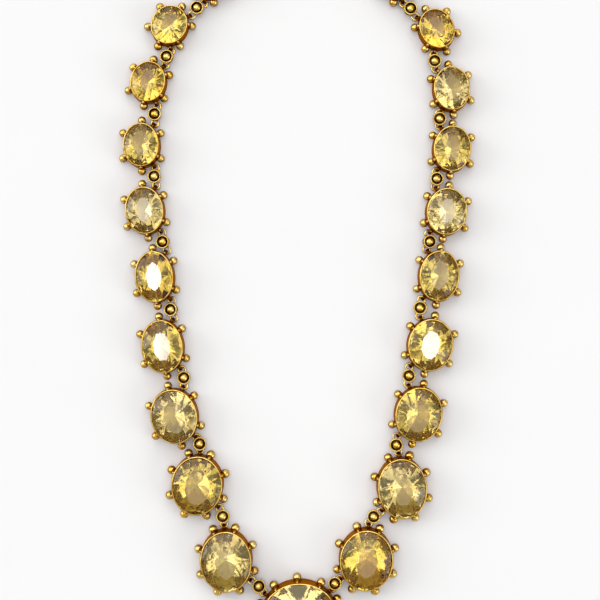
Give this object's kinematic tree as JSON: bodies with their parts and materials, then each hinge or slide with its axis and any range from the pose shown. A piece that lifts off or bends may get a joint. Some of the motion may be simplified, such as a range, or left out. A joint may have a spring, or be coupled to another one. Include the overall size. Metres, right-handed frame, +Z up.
{
  "type": "necklace of oval stones in closed settings",
  "caption": "Graduated necklace of oval cut stones in closed gold settings with granules, joined by cup links, lying flat.",
  "frame": {"origin": "centre of the necklace's bounding box in plan, on the surface that it lies on", "axes": "+Z up from the surface, +Y from the front stone towards the clasp, +X to the right seen from above"},
  "size_m": [0.0939, 0.1908, 0.0083],
  "materials": {
    "setting_gold": "satin",
    "link_gold": "satin",
    "clasp_gold": "satin",
    "citrine": "polished"
  },
  "bodies": {
    "root": {"setting_left_11": "setting_gold", "setting_left_10": "setting_gold", "setting_left_9": "setting_gold", "setting_left_8": "setting_gold", "setting_left_7": "setting_gold", "setting_left_6": "setting_gold", "setting_left_5": "setting_gold", "setting_left_4": "setting_gold", "setting_left_3": "setting_gold", "setting_left_2": "setting_gold", "setting_left_1": "setting_gold", "setting_front": "setting_gold", "setting_right_1": "setting_gold", "setting_right_2": "setting_gold", "setting_right_3": "setting_gold", "setting_right_4": "setting_gold", "setting_right_5": "setting_gold", "setting_right_6": "setting_gold", "setting_right_7": "setting_gold", "setting_right_8": "setting_gold", "setting_right_9": "setting_gold", "setting_right_10": "setting_gold", "setting_right_11": "setting_gold", "stone_left_11": "citrine", "stone_left_10": "citrine", "stone_left_9": "citrine", "stone_left_8": "citrine", "stone_left_7": "citrine", "stone_left_6": "citrine", "stone_left_5": "citrine", "stone_left_4": "citrine", "stone_left_3": "citrine", "stone_left_2": "citrine", "stone_left_1": "citrine", "stone_front": "citrine", "stone_right_1": "citrine", "stone_right_2": "citrine", "stone_right_3": "citrine", "stone_right_4": "citrine", "stone_right_5": "citrine", "stone_right_6": "citrine", "stone_right_7": "citrine", "stone_right_8": "citrine", "stone_right_9": "citrine", "stone_right_10": "citrine", "stone_right_11": "citrine", "links_left": "link_gold", "links_right": "link_gold", "clasp": "clasp_gold"}
  },
  "joints": []
}
